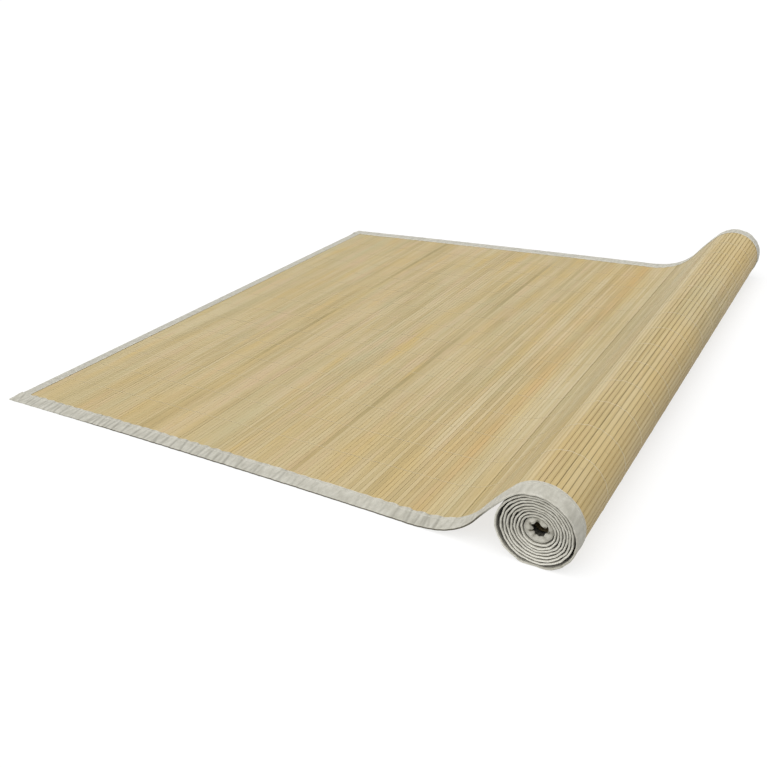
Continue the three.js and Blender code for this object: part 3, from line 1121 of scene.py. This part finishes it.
def bamboo():
    """Split bamboo: pale tan, streaked along each slat, each slat a little different."""
    material, tree, surface = finish_tree("bamboo", {"Specular IOR Level": 0.3})
    u, v, _ = tree.parts(tree.wire("ShaderNodeUVMap", uv_map="UVMap"))
    tone = tree.wire("ShaderNodeAttribute", {}, "Fac", attribute_name="tone")
    centre = tree.wire("ShaderNodeAttribute", {}, "Fac", attribute_name="centre")
    level, streaks, fibres = grain(tree, u, v, centre, tone)
    colour = mix_colours(tree, tree.between(level, 0.36, 0.66), BAMBOO_DARK, BAMBOO_MIDDLE)
    colour = mix_colours(tree, tree.between(level, 0.62, 0.92), colour, BAMBOO_LIGHT)
    colour = tinted(tree, colour, v, centre)

    place = (v / NODE_PERIOD + tone * 17.0).math("FRACT")
    from_node = (place - 0.5).math("ABSOLUTE") * NODE_PERIOD
    node_line = tree.between(from_node, 1.6 * MM, 0.3 * MM)
    colour = mix_colours(tree, node_line * 0.3, colour, BAMBOO_DARK)
    colour = edges_and_crowns(tree, colour, u, v, centre)
    nearer = tree.between(v, -0.12, -0.4, 0.0, 0.22)
    colour = mix_colours(tree, nearer, colour, OCHRE)

    connect(tree, colour, surface, "Base Color")
    connect(tree, tree.between(streaks, 0.3, 0.7, 0.62, 0.5), surface, "Roughness")
    relief = streaks * 0.6 + fibres * 0.4 + node_line * 1.5
    connect(tree, relief_of(tree, relief, 0.5, 0.06 * MM), surface, "Normal")
    return material


TAPE_LIGHT = (0.56, 0.545, 0.48)
TAPE_SHADE = (0.40, 0.385, 0.325)
# Painted shade, deeper painted shade, and painted highlight for the tape
TAPE_PAINTED_SHADE = (0.20, 0.19, 0.155)
TAPE_PAINTED_DEEP_SHADE = (0.06, 0.052, 0.03)
TAPE_PAINTED_HIGHLIGHT = (0.80, 0.78, 0.70)
WEAVE_PITCH = 0.55 * MM


def binding_fabric():
    """Plain woven tape, grey white, a little mottled, with painted shade in its creases and shaded
    places and painted highlight on its turned edges.
    """
    material, tree, surface = finish_tree(
        "binding fabric",
        {
            "Roughness": 0.92,
            "Sheen Weight": 0.08,
            "Sheen Roughness": 0.5,
            "Specular IOR Level": 0.25,
        },
    )
    u, v, _ = tree.parts(tree.wire("ShaderNodeUVMap", uv_map="UVMap"))
    turn = 2 * math.pi / WEAVE_PITCH
    weave = (u * turn).math("SINE") * (v * turn).math("SINE")
    slub = noise(tree, u * 1500.0, v * 220.0, 2.0, 0.5)
    mottle = noise(tree, u * 150.0, v * 70.0, 3.0, 0.7)
    level = weave * 0.10 + slub * 0.35 + (mottle - 0.5) * 1.15 + 0.375
    colour = mix_colours(tree, tree.between(level, 0.3, 0.8), TAPE_SHADE, TAPE_LIGHT)
    painted_shading = tree.wire("ShaderNodeAttribute", {}, "Fac", attribute_name="painted_shading")
    # Painted shade where the mark is above 0, deeper painted shade above 1, painted highlight below 0
    colour = mix_colours(tree, tree.between(painted_shading, 0.0, 1.0, 0.0, 0.5), colour, TAPE_PAINTED_SHADE)
    colour = mix_colours(tree, tree.between(painted_shading, 1.0, 2.0, 0.0, 0.9), colour, TAPE_PAINTED_DEEP_SHADE)
    colour = mix_colours(tree, tree.between(painted_shading, 0.0, -1.0, 0.0, 0.8), colour, TAPE_PAINTED_HIGHLIGHT)
    connect(tree, colour, surface, "Base Color")
    connect(tree, relief_of(tree, weave * 0.5 + slub * 0.5, 0.6, 0.08 * MM), surface, "Normal")
    return material


THREAD_LIGHT = (0.74, 0.68, 0.50)
THREAD_SHADE = (0.60, 0.53, 0.36)
THREAD_WORN = (0.58, 0.49, 0.30)
SEAM_LIGHT = (0.68, 0.67, 0.60)
SEAM_SHADE = (0.50, 0.48, 0.42)


def thread_finish(name, light, shade, ply, wear_and_edge_shade=None):
    """Twisted thread: the twist shows as slanted plies. On the open part it may be darkened by wear."""
    material, tree, surface = finish_tree(name, {"Roughness": 0.85, "Sheen Weight": 0.1})
    u, v, _ = tree.parts(tree.wire("ShaderNodeUVMap", uv_map="UVMap"))
    twist = ((u + v) * (2 * math.pi / ply)).math("SINE")
    fuzz = noise(tree, u * 900.0, v * 900.0, 2.0, 0.6)
    level = tree.between(twist * 0.25 + fuzz, 0.25, 0.75)
    colour = mix_colours(tree, level, shade, light)
    if wear_and_edge_shade:
        open_part = tree.between(u, 0.72, 0.6, 0.25, 0.9)
        colour = mix_colours(tree, open_part, colour, wear_and_edge_shade)
    connect(tree, colour, surface, "Base Color")
    connect(tree, relief_of(tree, twist, 0.5, 0.05 * MM), surface, "Normal")
    return material


def floor_finish():
    """A dull floor that glows, so that it comes out as pale as the photograph's."""
    values = {
        "Base Color": (FLOOR_COLOUR, FLOOR_COLOUR, FLOOR_COLOUR, 1),
        "Roughness": 1.0,
        "Specular IOR Level": 0.0,
        "Emission Color": (1, 1, 1, 1),
        "Emission Strength": FLOOR_GLOW,
    }
    return finish_tree("floor", values)[0]


# The studio

def make_floor():
    """A pale floor, much wider than the camera sees, that isn't part of the rug."""
    half = FLOOR_HALF_WIDTH
    mesh = bpy.data.meshes.new("floor")
    corners = [(-half, -half, 0), (half, -half, 0), (half, half, 0), (-half, half, 0)]
    mesh.from_pydata(corners, [], [(0, 1, 2, 3)])
    mesh.materials.append(floor_finish())
    floor = bpy.data.objects.new("floor", mesh)
    bpy.context.scene.collection.objects.link(floor)


def make_lights():
    """An even pale room, and one large soft light from above, a little to the front."""
    world = bpy.data.worlds.new("studio")
    bpy.context.scene.world = world
    world.use_nodes = True
    world.node_tree.nodes.clear()
    tree = Tree(world.node_tree)
    way = tree.node("ShaderNodeTexCoord").outputs["Generated"]
    _, _, height = tree.parts(Wire(tree, way))
    strength = tree.between(height, 0.04, 0.16, HORIZON_LIGHT, ROOM_LIGHT)
    background = tree.node("ShaderNodeBackground", {"Color": (1, 1, 1, 1), "Strength": strength})
    tree.node("ShaderNodeOutputWorld", {"Surface": Wire(tree, background.outputs[0])})
    key = bpy.data.lights.new("key", "SUN")
    key.energy = KEY_LIGHT * math.pi
    key.angle = math.radians(KEY_SPREAD)
    lamp = bpy.data.objects.new("key", key)
    lamp.rotation_euler = Vector(KEY_FROM).to_track_quat("Z", "Y").to_euler()
    bpy.context.scene.collection.objects.link(lamp)


def make_camera():
    """The camera that took the photograph, and plain colours in the picture."""
    data = bpy.data.cameras.new("camera")
    data.sensor_width = CAMERA_SENSOR
    data.lens = CAMERA_LENS
    camera = bpy.data.objects.new("camera", data)
    heading = Matrix.Rotation(math.radians(CAMERA_HEADING), 4, "Z")
    pitch = Matrix.Rotation(math.radians(90 - CAMERA_PITCH), 4, "X")
    roll = Matrix.Rotation(math.radians(CAMERA_ROLL), 4, "Z")
    camera.matrix_world = Matrix.Translation(CAMERA_AT) @ heading @ pitch @ roll
    bpy.context.scene.collection.objects.link(camera)
    bpy.context.scene.camera = camera
    bpy.context.scene.view_settings.view_transform = "Standard"


# The rug

line = course_mesh()
fabric = binding_fabric()
slats = make_slats(line, bamboo())
threads = make_threads(
    line, thread_finish("slat thread", THREAD_LIGHT, THREAD_SHADE, 0.6 * MM, wear_and_edge_shade=THREAD_WORN)
)
tapes, cut_widths, end_tape_length = make_bindings(fabric)
seams = make_seams(
    line, end_tape_length, thread_finish("seam thread", SEAM_LIGHT, SEAM_SHADE, 0.5 * MM)
)

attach(slats, "root")
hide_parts("slat_cloth")
for thread in threads:
    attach(thread, "root")
for name, node, seam_name in [
    ("binding_tape_front", "binding_front", "seam_front"),
    ("binding_tape_back", "binding_back", "seam_back"),
    ("binding_tape_free_end", "binding_free_end", "seam_free_end"),
    ("binding_tape_core_end", "binding_core_end", "seam_core_end"),
]:
    tape, seam = tapes[name], seams[seam_name]
    for piece in (tape, seam):
        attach(piece, "root")
    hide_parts(node)

make_floor()
make_lights()
make_camera()
